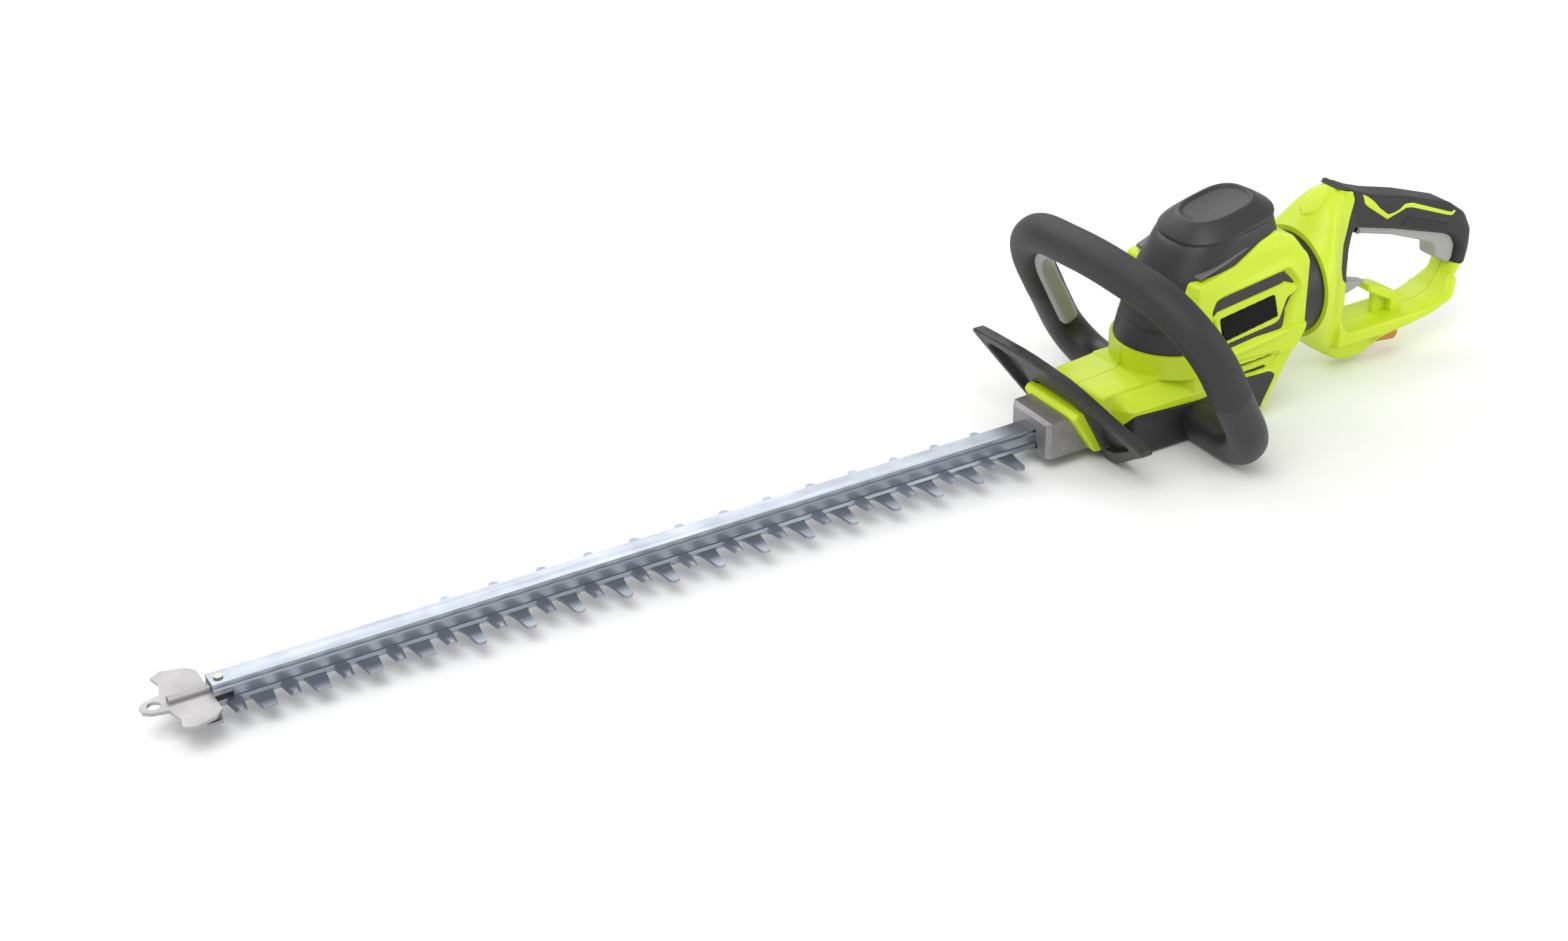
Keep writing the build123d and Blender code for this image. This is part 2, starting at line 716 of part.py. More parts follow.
frame_side = [(697, 127), (704, 129), (712, 124), (696, 84), (701, 66), (706, 58), (711, 54), (711, 17),
              (795, 17), (812, 24), (820, 36), (822.5, 43), (834, 41), (827, 30), (817, 17), (800, 10),
              (747, 5), (702, 3), (697, 4)]
bar_side = [(700, 4), (700, 17), (795, 17), (809, 22), (817, 17), (800, 10), (747, 5)]
belly_side = [(702, 14), (748, 14), (750, 8), (742, -9), (736, -11), (715, -11), (700, 6)]
grip_side = [(704, 129), (722, 122), (739, 116), (771, 108), (813, 94), (832, 80), (837, 66), (834, 41),
             (822.5, 43), (825, 56), (816, 69), (722, 94), (712, 86), (711, 54), (706, 58), (701, 66),
             (696, 84), (712, 124)]
lever_side = [(714, 91), (714, 101), (728, 101), (760, 91), (812, 76), (825, 66), (822, 44), (818, 43),
              (806, 49), (805, 61), (800, 64), (760, 80), (722, 89)]


def handle_form(inset):
    """The rear handle's outer form, or its inner form when inset."""
    parts = []
    for points, half in ((frame_side, riser_half), (bar_side, rail_bar_half), (belly_side, belly_half)):
        face = side_face(points) + side_face(grip_side) if points is frame_side else side_face(points)
        parts.append(prism(offset(face, -inset, kind=Kind.INTERSECTION) if inset else face, half - inset))
    start = collar_to + fit_gap + inset
    flange = rod_x(neck_r - inset, start, 675, swivel_z)
    turned = Plane(origin=(675, 0, swivel_z), x_dir=(0, 1, 0), z_dir=(1, 0, 0)) * Circle(neck_r - inset)
    low, high = 7 + inset, 124 - inset
    tall = RectangleRounded(2 * (riser_half - 1 - inset), high - low, 11 - inset)
    tall = Plane(origin=(705, 0, (low + high) / 2), x_dir=(0, 1, 0), z_dir=(1, 0, 0)) * tall
    return parts[0] + parts[1] + parts[2] + flange + loft([turned, tall])


def lever_solid(grow, turn):
    face = offset(side_face(lever_side), grow, kind=Kind.INTERSECTION) if grow else side_face(lever_side)
    solid = prism(face, lever_half + grow)
    pivot = Pos(lever_pin[0], 0, lever_pin[1])
    return pivot * Rot(0, -turn, 0) * pivot.inverse() * solid


def lever_room():
    room = lever_solid(lever_clear, 0)
    for share in (1 / 3, 2 / 3, 1):
        room += lever_solid(lever_clear, share * lever_turn)
    return room


def trigger_form(grow):
    fin = [(700 - grow, 38 - grow), (700 - grow, 52 + grow), (722, 52 + grow), (742 + grow, 47 + grow),
           (742 + grow, 45 - grow), (722, 38 - grow)]
    return prism(side_face(fin), 5 + grow)


def make_neck():
    """The round spigot that turns in the body's rear wall, with its retaining flange."""
    tube = rod_x(spigot_r, flange_from, collar_to + 6, swivel_z)
    tube += rod_x(flange_r, flange_from, flange_to, swivel_z)
    return tube - rod_x(spigot_r - 3, 600, 700, swivel_z)


def stub_place(along):
    """A place along the cord sleeve's axis, which points back and slightly down."""
    a = radians(6)
    return Pos(742 + along * cos(a), 0, -1 - along * sin(a)) * Rot(0, 96, 0)


def make_frame_half(side):
    frame = handle_form(0) - handle_form(wall)
    frame = frame - prism(side_face(grip_side), 60)
    frame += make_neck() - handle_form(0)
    frame -= rod_x(spigot_r - 3, 660, 676, swivel_z)
    frame -= block((783.5, 807.5), (-10, 10), (0, 40))
    frame -= trigger_room()
    frame -= stub_place(10) * Cylinder(stub_r, 60)
    return frame & block((600, 900), sorted((0, side * 80)), (-60, 200))


def trigger_room():
    return block((690, 742), (-5.6, 5.6), (37.4, 52.6))


def make_hook():
    side = [(774, 17), (782, 17), (780, 25), (768, 33), (760, 34), (760, 30), (767, 28), (773, 22)]
    return prism(side_face(side), 5) + block((751, 764), (-9, 9), (30, 34))


def make_grip():
    grip = prism(side_face(grip_side), grip_half)
    hollow = prism(offset(side_face(grip_side), -2.8, kind=Kind.INTERSECTION), grip_half - 2.8)
    return grip - hollow - lever_room() - rod_y(lever_pin_r, -14, 14, *lever_pin)


def make_lever():
    return lever_solid(0, 0) - rod_y(lever_pin_r + run_clear, -20, 20, *lever_pin)


def make_trigger():
    pin = rod_x(3.0, 652, 701, 45)
    return trigger_form(0) + pin


def make_cord_sleeve():
    tube = stub_place(stub_long / 2 - 6) * Cylinder(stub_r, stub_long)
    tube = fillet(tube.edges().filter_by(GeomType.CIRCLE).sort_by(Axis.X)[-1], 2.5)
    return tube - stub_place(stub_long / 2) * Cylinder(cord_r, 2 * stub_long)


def make_front_switch():
    box = block((616, 636), (-14, 14), (44, 60))
    return box + block((613, 616), (-3, 3), (50, 54))


def make_rear_switch():
    return block((735, 757), (-5, 5), (100.5, 108))


def make_capacitor():
    return rod_y(7.0, -15, 15, 626, 82)


def make_cord_clamp():
    half = belly_half - wall
    return block((716, 728), (-half, half), (0, 4))


# ---- assembly ----

def build_all():
    parts = {
        "upper_blade": make_upper_blade(),
        "lower_blade": make_lower_blade(),
        "blade_rail": make_rail(),
        "blade_bolts": make_bolts(),
        "blade_sleeves": make_sleeves(),
        "tip_guard": make_tip_guard(),
        "tip_rivet": make_rivet(),
        "drive_gear": make_drive_gear(),
        "gear_bushing": make_bushing(),
        "gear_axle": make_axle(),
        "motor_shaft": make_motor_shaft(),
        "rotor_core": make_core(),
        "commutator": make_commutator(),
        "cooling_fan": make_fan(),
        "stator_core": make_stator(),
        "field_coils": make_field_coils(),
        "lower_bearing": bearing(case_top + 0.5),
        "upper_bearing": bearing(111.0),
        "motor_bracket": make_motor_bracket(),
        "carbon_brushes": make_brushes(),
        "gear_case": make_gear_case(),
        "gear_cover": make_gear_cover(),
        "cover_screws": make_cover_screws(),
        "housing_left": make_half_shell(1),
        "housing_right": make_half_shell(-1),
        "lower_housing": make_base(),
        "motor_shroud": make_shroud(),
        "motor_cap": make_cap(),
        "collar_ring": make_collar(),
        "side_badges": make_badges(),
        "hand_guard": make_guard(),
        "loop_front_shell": make_loop_shell(-1),
        "loop_rear_shell": make_loop_shell(1),
        "front_switch_bail": bail_solid(0, 0),
        "handle_left": make_frame_half(1),
        "handle_right": make_frame_half(-1),
        "cord_hook": make_hook(),
        "rear_grip": make_grip(),
        "rear_lever": make_lever(),
        "lever_pin": rod_y(lever_pin_r, -14, 14, *lever_pin),
        "lock_trigger": make_trigger(),
        "cord_sleeve": make_cord_sleeve(),
        "cord_clamp": make_cord_clamp(),
        "front_switch": make_front_switch(),
        "rear_switch": make_rear_switch(),
        "capacitor": make_capacitor(),
    }
    return parts


nodes = build_all()
boxes = [solid.bounding_box() for solid in nodes.values()]
low_x = min(b.min.X for b in boxes)
high_x = max(b.max.X for b in boxes)
low_z = min(b.min.Z for b in boxes)
shift = (-(low_x + high_x) / 2, 0, -low_z)
for name, solid in nodes.items():
    export_step(Pos(*shift) * solid, f"parts/{name}.step")
print("shift", shift)
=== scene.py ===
from math import radians, tan

import bmesh
import bpy
import numpy as np
from mathutils import Matrix


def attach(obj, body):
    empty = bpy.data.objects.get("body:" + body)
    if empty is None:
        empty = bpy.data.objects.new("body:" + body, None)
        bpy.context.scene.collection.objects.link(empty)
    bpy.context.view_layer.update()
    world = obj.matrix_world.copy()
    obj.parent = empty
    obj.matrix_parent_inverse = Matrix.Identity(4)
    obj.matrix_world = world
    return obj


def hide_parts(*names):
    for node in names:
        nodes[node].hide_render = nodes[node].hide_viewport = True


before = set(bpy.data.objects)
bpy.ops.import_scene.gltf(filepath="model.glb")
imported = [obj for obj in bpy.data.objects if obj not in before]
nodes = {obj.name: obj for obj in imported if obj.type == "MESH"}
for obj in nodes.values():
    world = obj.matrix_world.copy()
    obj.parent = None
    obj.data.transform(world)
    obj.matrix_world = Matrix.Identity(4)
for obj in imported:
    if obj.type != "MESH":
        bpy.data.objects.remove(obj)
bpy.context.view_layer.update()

# ---------------------------------------------------------------------------------------------
# Camera, floor and light: a pale studio sweep under broad soft panels.

camera_data = bpy.data.cameras.new("camera")
camera_data.lens = 56.43
camera_data.sensor_width = 36.0
camera_data.clip_end = 20.0
camera = bpy.data.objects.new("camera", camera_data)
bpy.context.scene.collection.objects.link(camera)
right, up, back = (0.86037, -0.50927, -0.02023), (0.26329, 0.41013, 0.87320), (-0.43640, -0.75660, 0.48695)
stand = (-0.78994, -1.23286, 0.84432)
camera.matrix_world = Matrix([*zip(right, up, back, stand), (0, 0, 0, 1)])
bpy.context.scene.camera = camera
bpy.context.scene.view_settings.view_transform = "Standard"


def linear(code):
    """An sRGB colour written in hex, as the linear RGBA that a shader takes."""
    parts = np.array([int(code[i:i + 2], 16) for i in (1, 3, 5)]) / 255
    values = np.where(parts <= 0.04045, parts / 12.92, ((parts + 0.055) / 1.055) ** 2.4)
    return (*values.tolist(), 1.0)


def put(tree, kind, sockets=None, **settings):
    """Adds one node: settings are its properties, sockets the values or outputs fed to its inputs."""
    made = tree.nodes.new("ShaderNode" + kind)
    for key, value in settings.items():
        setattr(made, key, value)
    for key, value in (sockets or {}).items():
        if isinstance(value, bpy.types.NodeSocket):
            tree.links.new(value, made.inputs[key])
        else:
            made.inputs[key].default_value = value
    return made


def finish_named(name):
    """A new material with an empty node tree, its shader and its output joined."""
    material = bpy.data.materials.new(name)
    material.use_nodes = True
    tree = material.node_tree
    tree.nodes.clear()
    shader = put(tree, "BsdfPrincipled")
    put(tree, "OutputMaterial", {"Surface": shader.outputs["BSDF"]})
    return material, tree, shader


paper, _, paper_shader = finish_named("painted_sweep")
paper_shader.inputs["Base Color"].default_value = linear("#F4F4F4")
paper_shader.inputs["Roughness"].default_value = 0.95
floor_mesh = bpy.data.meshes.new("studio_floor")
reach = 6.0
below = 0.0005
floor_mesh.from_pydata([(-reach, -reach, 0), (reach, -reach, 0), (reach, reach, 0), (-reach, reach, 0)], [],
                       [(0, 1, 2, 3)])
floor_mesh.materials.append(paper)
floor = bpy.data.objects.new("studio_floor", floor_mesh)
floor.location.z = -below
bpy.context.scene.collection.objects.link(floor)

world = bpy.data.worlds.new("studio")
world.use_nodes = True
world.node_tree.nodes["Background"].inputs["Color"].default_value = linear("#FFFFFF")
world.node_tree.nodes["Background"].inputs["Strength"].default_value = 0.75
bpy.context.scene.world = world


def panel(name, place, aim, size, watts):
    """A soft rectangular light at a place, pointing at another."""
    data = bpy.data.lights.new(name, "AREA")
    data.shape = "RECTANGLE"
    data.size, data.size_y = size
    data.energy = watts
    lamp = bpy.data.objects.new(name, data)
    away = np.array(place, float) - np.array(aim, float)
    away /= np.linalg.norm(away)
    side = np.cross((0, 0, 1), away)
    side /= np.linalg.norm(side)
    over = np.cross(away, side)
    lamp.matrix_world = Matrix([*zip(side, over, away, place), (0, 0, 0, 1)])
    bpy.context.scene.collection.objects.link(lamp)


panel("key_panel", (-0.9, -0.7, 1.9), (0.1, 0, 0), (1.6, 1.2), 24)
panel("back_panel", (0.3, 1.6, 1.3), (0.1, 0, 0.1), (2.0, 0.8), 14)
panel("side_panel", (1.6, -1.5, 0.8), (0.2, 0, 0.1), (0.9, 0.9), 9)

# ---------------------------------------------------------------------------------------------
# Blades: two hardened steel combs, stamped and then ground, with a satin face grained lengthwise
# by the grinding belt.  They slide against each other in opposite directions.


def coords(tree):
    return put(tree, "TexCoord").outputs["Object"]


def blend(tree, amount, low, high):
    """The colour output of a mix that runs from low to high as amount goes from 0 to 1."""
    mix = put(tree, "Mix", {"Factor": amount}, data_type="RGBA")
    pair = [socket for socket in mix.inputs if socket.type == "RGBA"]
    pair[0].default_value, pair[1].default_value = linear(low), linear(high)
    return [socket for socket in mix.outputs if socket.type == "RGBA"][0]


drawn_out, even_grain = (1.0, 60.0, 60.0), (1.0, 1.0, 1.0)


def grained_metal(name, low, high, rough, grain, depth, along=drawn_out, metallic=1.0):
    """Metal whose noise tints, roughens and dents it: drawn out along X as tool lines, or even."""
    material, tree, shader = finish_named(name)
    stretched = put(tree, "Mapping", {"Vector": coords(tree), "Scale": along})
    lines = put(tree, "TexNoise", {"Vector": stretched.outputs[0], "Scale": grain, "Detail": 5.0})
    blotch = put(tree, "TexNoise", {"Vector": coords(tree), "Scale": 35.0, "Detail": 3.0})
    both = put(tree, "Math", {0: lines.outputs[0], 1: blotch.outputs[0]}, operation="ADD")
    amount = put(tree, "MapRange", {"Value": both.outputs[0], "From Min": 0.65, "From Max": 1.35})
    tree.links.new(blend(tree, amount.outputs[0], low, high), shader.inputs["Base Color"])
    finish = put(tree, "MapRange", {"Value": both.outputs[0], "From Min": 0.6, "From Max": 1.4,
                                    "To Min": rough + 0.06, "To Max": rough - 0.06})
    tree.links.new(finish.outputs[0], shader.inputs["Roughness"])
    dents = put(tree, "Bump", {"Height": lines.outputs[0], "Strength": 0.35, "Distance": depth})
    tree.links.new(dents.outputs[0], shader.inputs["Normal"])
    shader.inputs["Metallic"].default_value = metallic
    return material


def dress(material, *names):
    """Gives CAD nodes a material in place of their plain one."""
    for name in names:
        slots = nodes[name].material_slots
        if not slots:
            nodes[name].data.materials.append(material)
        for entry in slots:
            entry.material = material


blade_steel = grained_metal("ground_blade_steel", "#868C96", "#A2A8B1", 0.42, 9.0, 0.00003)
dress(blade_steel, "upper_blade", "lower_blade")

# ---------------------------------------------------------------------------------------------
# Rail and tip guard: a drawn aluminium strip over the blades, with a lip and a groove along each
# side, bolted through spacer sleeves; the guard at its end is blasted sheet steel, held by a rivet.

rail_metal = grained_metal("drawn_aluminium", "#8E949E", "#A4AAB3", 0.36, 6.0, 0.00002)
dress(rail_metal, "blade_rail")
bolt_metal = grained_metal("zinc_plated_steel", "#8F9186", "#B2B1A2", 0.34, 40.0, 0.00002, even_grain)
dress(bolt_metal, "blade_bolts", "blade_sleeves", "tip_rivet", "cover_screws")
tip_metal = grained_metal("blasted_steel", "#9C9B9B", "#B9B7B7", 0.5, 900.0, 0.00005, even_grain)
dress(tip_metal, "tip_guard")

# ---------------------------------------------------------------------------------------------
# Gear case and gears: a sand-cast aluminium box left as cast, so its skin is speckled and dull,
# with its cover screwed on below; the gear and the shafts in it are hardened steel.

cast_metal = grained_metal("sand_cast_aluminium", "#7E7C7C", "#AFADAE", 0.52, 1100.0, 0.00012, even_grain,
                           metallic=0.85)
dress(cast_metal, "gear_case", "gear_cover")
gear_metal = grained_metal("case_hardened_steel", "#5C5A57", "#7C7974", 0.38, 30.0, 0.00002, even_grain)
dress(gear_metal, "drive_gear", "gear_axle", "motor_shaft", "lower_bearing", "upper_bearing", "lever_pin")


def moulded(name, code, shade, rough, grain=0.0011, depth=0.00006, shine=0.5):
    """Injection-moulded plastic: a spark-eroded texture about grain metres across, and a faint mottle."""
    material, tree, shader = finish_named(name)
    fine = put(tree, "TexNoise", {"Vector": coords(tree), "Scale": 1 / grain, "Detail": 3.0})
    broad = put(tree, "TexNoise", {"Vector": coords(tree), "Scale": 18.0, "Detail": 2.0})
    both = put(tree, "Math", {0: fine.outputs[0], 1: broad.outputs[0]}, operation="ADD")
    amount = put(tree, "MapRange", {"Value": both.outputs[0], "From Min": 0.7, "From Max": 1.3})
    tree.links.new(blend(tree, amount.outputs[0], shade, code), shader.inputs["Base Color"])
    finish = put(tree, "MapRange", {"Value": fine.outputs[0], "From Min": 0.3, "From Max": 0.7,
                                    "To Min": rough - 0.05, "To Max": rough + 0.06})
    tree.links.new(finish.outputs[0], shader.inputs["Roughness"])
    dents = put(tree, "Bump", {"Height": fine.outputs[0], "Strength": 0.4, "Distance": depth})
    tree.links.new(dents.outputs[0], shader.inputs["Normal"])
    shader.inputs["Specular IOR Level"].default_value = shine
    return material


# ---------------------------------------------------------------------------------------------
# Motor and switches: iron laminations under varnish, enamelled copper windings and a sintered
# bronze bush, with the brushes and switches in black bakelite.

copper = grained_metal("enamelled_copper", "#A2602F", "#C98A4E", 0.32, 400.0, 0.00005, even_grain)
dress(copper, "field_coils", "commutator")
iron = grained_metal("varnished_laminations", "#4C4A48", "#66625E", 0.48, 500.0, 0.00004, (1, 1, 8))
dress(iron, "rotor_core", "stator_core")
bronze = grained_metal("sintered_bronze", "#8A6234", "#A98150", 0.42, 500.0, 0.00004, even_grain)
dress(bronze, "gear_bushing")
inner_black = moulded("black_bakelite", "#1C1C1D", "#171718", 0.5)
dress(inner_black, "carbon_brushes", "front_switch", "rear_switch", "motor_bracket", "cord_clamp")


def mm(points):
    """Places measured in millimetres from the first rounded finger, as metres in the part's own frame."""
    return (np.asarray(points, float) + (-316.0, 0.0, 17.0)) / 1000


def join_up(name, vertices, faces, material, crease=38.0):
    """A finished piece: doubles merged, faces turned outwards, sharp only at edges beyond crease degrees."""
    mesh = bpy.data.meshes.new(name)
    mesh.from_pydata(mm(vertices).tolist(), [], [[int(i) for i in face] for face in faces])
    work = bmesh.new()
    work.from_mesh(mesh)
    bmesh.ops.remove_doubles(work, verts=work.verts, dist=2e-6)
    bmesh.ops.dissolve_degenerate(work, edges=work.edges, dist=2e-6)
    bmesh.ops.recalc_face_normals(work, faces=work.faces)
    work.to_mesh(mesh)
    work.free()
    mesh.polygons.foreach_set("use_smooth", [True] * len(mesh.polygons))
    mesh.set_sharp_from_angle(angle=radians(crease))
    mesh.materials.append(material)
    made = bpy.data.objects.new(name, mesh)
    bpy.context.scene.collection.objects.link(made)
    return made


def step_to(value, start, end):
    """0 before start, 1 after end, and a smooth S between them."""
    t = np.clip((value - start) / (end - start), 0, 1)
    return t * t * (3 - 2 * t)


def rounded(points, radius, steps=5):
    """A closed outline with each corner turned into a short curve of about that radius."""
    p = np.asarray(points, float)
    before, after = np.roll(p, 1, 0) - p, np.roll(p, -1, 0) - p
    long_b, long_a = np.linalg.norm(before, axis=1), np.linalg.norm(after, axis=1)
    cut_b = np.minimum(radius, 0.45 * long_b)[:, None] * before / long_b[:, None]
    cut_a = np.minimum(radius, 0.45 * long_a)[:, None] * after / long_a[:, None]
    t = np.linspace(0, 1, steps)[None, :, None]
    start, end = (p + cut_b)[:, None], (p + cut_a)[:, None]
    return ((1 - t) ** 2 * start + 2 * t * (1 - t) * p[:, None] + t ** 2 * end).reshape(-1, 2)


def inside(outline, x, z):
    """Distance into a closed outline, negative outside it, with the nearest place on the outline."""
    best, near_x, near_z = np.full(x.shape, 1e9), x.copy(), z.copy()
    within = np.zeros(x.shape, bool)
    for (ax, az), (bx, bz) in zip(outline, np.roll(outline, -1, 0)):
        run, rise = bx - ax, bz - az
        if run * run + rise * rise < 1e-12:
            continue
        t = np.clip(((x - ax) * run + (z - az) * rise) / (run * run + rise * rise), 0, 1)
        px, pz = ax + t * run, az + t * rise
        gap = np.hypot(x - px, z - pz)
        closer = gap < best
        best = np.where(closer, gap, best)
        near_x, near_z = np.where(closer, px, near_x), np.where(closer, pz, near_z)
        if rise:
            within ^= ((az > z) != (bz > z)) & (x < ax + run * (z - az) / rise)
    return np.where(within, best, -best), near_x, near_z


def even(half):
    """A width that is the same all over a piece."""
    return lambda x, z: half + 0 * x


def ruled(start, end, step, fine):
    """Grid lines from start to end, step apart, and closer within a (start, end, step) stretch."""
    if fine is None:
        return np.arange(start - step, end + 2 * step, step)
    low, high, close = fine
    return np.concatenate([np.arange(start - step, low, step), np.arange(low, high, close),
                           np.arange(high, end + 2 * step, step)])


def skin(outline, width, edge, step=0.8, whole=None, groove=0.4, deep=0.0, fine=(None, None)):
    """Both flanks of a moulding and the wall between them. A grid over the outline has y = width(x, z);
    within edge of the whole outline it follows a quarter circle, and its border is joined across the middle,
    with a groove of that half width and depth in it."""
    outline = np.asarray(outline, float)
    whole = outline if whole is None else np.asarray(whole, float)
    (low_x, low_z), (high_x, high_z) = outline.min(0), outline.max(0)
    across, along = ruled(low_x, high_x, step, fine[0]), ruled(low_z, high_z, step, fine[1])
    x, z = np.meshgrid(across, along, indexing="ij")
    own, near_x, near_z = inside(outline, x, z)
    on_border = own < 0.3 * (step if fine[0] is None else fine[0][2])
    x, z = np.where(on_border, near_x, x), np.where(on_border, near_z, z)
    into, border_x, border_z = inside(whole, x, z)
    into = np.maximum(into, 0)
    size = edge(border_x, border_z) if callable(edge) else np.full(x.shape, float(edge))
    turn = np.clip(into / size, 0, 1) * np.pi / 2
    turning = (into > 1e-6) & (turn < np.pi / 2)
    pull = np.where(turning, size * (1 - np.cos(turn)) / np.maximum(into, 1e-6), 1)
    x, z = border_x + (x - border_x) * pull, border_z + (z - border_z) * pull
    half = width(x, z)
    size = np.minimum(size, half - groove)
    y = half - size * (1 - np.sin(turn)) - 0.35 * step_to(0.9 - np.maximum(own, 0), 0, 0.9)
    used = own > 0
    cell = used[:-1, :-1] | used[1:, :-1] | used[:-1, 1:] | used[1:, 1:]
    number = np.arange(x.size).reshape(x.shape)
    quads = np.stack([number[:-1, :-1], number[1:, :-1], number[1:, 1:], number[:-1, 1:]], -1)[cell]
    points = np.stack([x, y, z], -1).reshape(-1, 3)
    corner = points[quads]
    area = np.abs(np.cross(corner[:, 2] - corner[:, 0], corner[:, 3] - corner[:, 1])[:, 1])
    quads = quads[area > 1e-4]
    edges = np.stack([quads, np.roll(quads, -1, 1)], -1).reshape(-1, 2)
    keys = np.sort(edges, 1)
    _, first, count = np.unique(keys[:, 0] * x.size + keys[:, 1], return_index=True, return_counts=True)
    rim = edges[first[count == 1]]
    inward = np.zeros((x.size, 3))
    run = points[rim[:, 1]] - points[rim[:, 0]]
    turned = np.stack([-run[:, 2], 0 * run[:, 0], run[:, 0]], -1)
    np.add.at(inward, rim[:, 0], turned)
    np.add.at(inward, rim[:, 1], turned)
    inward /= np.maximum(np.linalg.norm(inward, axis=1, keepdims=True), 1e-9)
    depth = deep(points[:, 0], points[:, 2]) if callable(deep) else np.full(x.size, float(deep))
    shut = np.stack([points[:, 0], np.full(x.size, groove), points[:, 2]], -1)
    sunk = shut + inward * depth[:, None]
    flip = np.array([1, -1, 1])
    layers = [points, shut, sunk, sunk * flip, shut * flip, points * flip]
    faces = [quads, quads[:, ::-1] + 5 * x.size]
    for k in range(5):
        a, b = rim[:, 0] + k * x.size, rim[:, 1] + k * x.size
        faces.append(np.stack([b, a, a + x.size, b + x.size], -1))
    faces = np.concatenate(faces)
    kept, renamed = np.unique(faces, return_inverse=True)
    return np.concatenate(layers)[kept], renamed.reshape(faces.shape)


# ---------------------------------------------------------------------------------------------
# Body shells: two glass-filled nylon halves in lime, screwed together round the motor.  Their
# flanks carry a raised frame round the badge, with dark vent strips behind it.

lime = moulded("lime_moulded_abs", "#CADF24", "#C2D81E", 0.4)
dress(lime, "housing_left", "housing_right", "handle_left", "handle_right", "cord_hook")
black = moulded("black_moulded_nylon", "#2A2A2B", "#252526", 0.46)
dress(black, "lower_housing", "motor_shroud", "motor_cap", "collar_ring", "hand_guard", "loop_front_shell",
      "loop_rear_shell")

lime_line = rounded([(478, -11), (470, 14), (478, 32), (489, 33), (513, 35), (515.8, 51), (543, 51),
                     (545, 93), (549, 103), (562, 106), (583, 111), (606, 123), (620, 127), (634, 122),
                     (650.5, 100), (650.5, 47), (612, -14), (606, -14), (622, 17), (594, 21),
                     (557, 14.5), (497, 17.5)], 2.5)
body_line = rounded([(478, -11), (470, 14), (478, 32), (489, 33), (513, 35), (515.8, 51), (526, 74),
                     (539, 102), (552, 124), (635, 139), (650.5, 100), (650.5, 47), (612, -14),
                     (600, -17), (486, -17)], 2.5)
frame_line = rounded([(556, 79), (562, 91), (568, 95), (628, 107.5), (635.5, 102), (645, 89),
                      (646.5, 83), (634, 47), (630, 45.5), (580, 39.5), (566, 42)], 3)
crest_line = rounded([(560, 80), (564, 90), (570, 92.5), (630, 100.5), (642.5, 85), (642.5, 79),
                      (632.5, 51.5), (630, 50), (578, 43.5), (569, 46)], 3)
vent_line = rounded([(563.5, 78.5), (568, 86), (571, 87.5), (629, 94.5), (638, 86.5), (638, 78.5),
                     (627.5, 57), (624, 54.5), (577, 48), (572, 50)], 2)
island_line = rounded([(563, 76.5), (566.5, 80.5), (628, 88.5), (640, 83.5), (640, 79.5), (631, 75),
                       (625.5, 59.5), (621.5, 57), (574, 51.5), (570, 53)], 1.5)
louvre_line = rounded([(560, 36), (581, 38.5), (624, 36.5), (627.5, 33), (620, 20.8), (594, 21.5),
                       (560, 17)], 2)
slots = [rounded([(572, 31.5), (621, 34.6), (622.5, 32.6), (620.5, 31), (572, 27.8)], 0.8),
         rounded([(574, 23.8), (615, 26), (618, 23.5), (616, 22.4), (574, 20)], 0.8)]


def body_width(x, z):
    """Half width of the body: a narrow arm in front with sloping shoulders, the round seat of the motor
    housing, and the flat flanks behind, which draw in towards the top."""
    arm = 29 + 12.4 * step_to(x, 485, 498) * np.clip((31.5 - z) / 11, 0, 1)
    seat = np.sqrt(np.clip(43.2 ** 2 - np.clip(559 - x, 0, 43.2) ** 2, 0, None)) * (z > 33.2)
    flank = (29 + 12 * step_to(x, 541, 550)) * (x > 541)
    flank = np.minimum(flank, np.interp(z, [0, 98, 116, 126, 140], [41, 41, 38.6, 35.5, 31]))
    return np.maximum(np.maximum(arm * (z < 36), seat * (z < 52)), flank)


def flank_relief(x, z):
    """The body's half width with its frame, vent recess, badge island and louvres."""
    half = body_width(x, z)
    ridge = 1.5 * np.clip(inside(frame_line, x, z)[0] / 5.5, 0, 1)
    recess = 4.6 * np.clip(inside(crest_line, x, z)[0] / 4.6, 0, 1)
    island = 3.2 * np.clip(inside(island_line, x, z)[0] / 0.9, 0, 1)
    louvres = 1.3 * np.clip(inside(louvre_line, x, z)[0] / 1.5, 0, 1)
    for line in slots:
        louvres = louvres + 1.6 * np.clip(inside(line, x, z)[0] / 0.6, 0, 1)
    return half + ridge - recess + island - louvres


def body_edge(x, z):
    """Edge radius: crisp along the front arm, soft behind the collar and at the belly."""
    return np.where(x > 640, 3.0, np.where(z < -8, 4.0, 1.4))


flank_grid = ((556, 650, 0.5), (18, 108, 0.5))
body_skin = skin(lime_line, flank_relief, body_edge, 1.1, body_line, 0.25, 0.5, flank_grid)
body_shell = join_up("body_shell", *body_skin, lime)
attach(body_shell, "body")
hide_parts("housing_left", "housing_right")

lip_line = rounded([(473, -9), (453, 22), (456, 26), (476, 26), (486, -9)], 2)
shell_lips = join_up("shell_lips", *skin(lip_line, even(30.0), 1.2, 0.9, groove=25.5), lime)
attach(shell_lips, "body")

# Dark strips behind the vents, moulded in black and held between the halves.

vents = []
for line in (vent_line, *slots):
    grown = skin(line, even(38.8), 0.4, 1.6, groove=30.0)
    vents.append(grown)
offset_by = np.cumsum([0] + [len(v) for v, _ in vents[:-1]])
vent_strips = join_up("vent_strips", np.concatenate([v for v, _ in vents]),
                      np.concatenate([f + o for (_, f), o in zip(vents, offset_by)]), black)
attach(vent_strips, "body")

# Badge: a plain gloss plate pressed into the island on each flank.

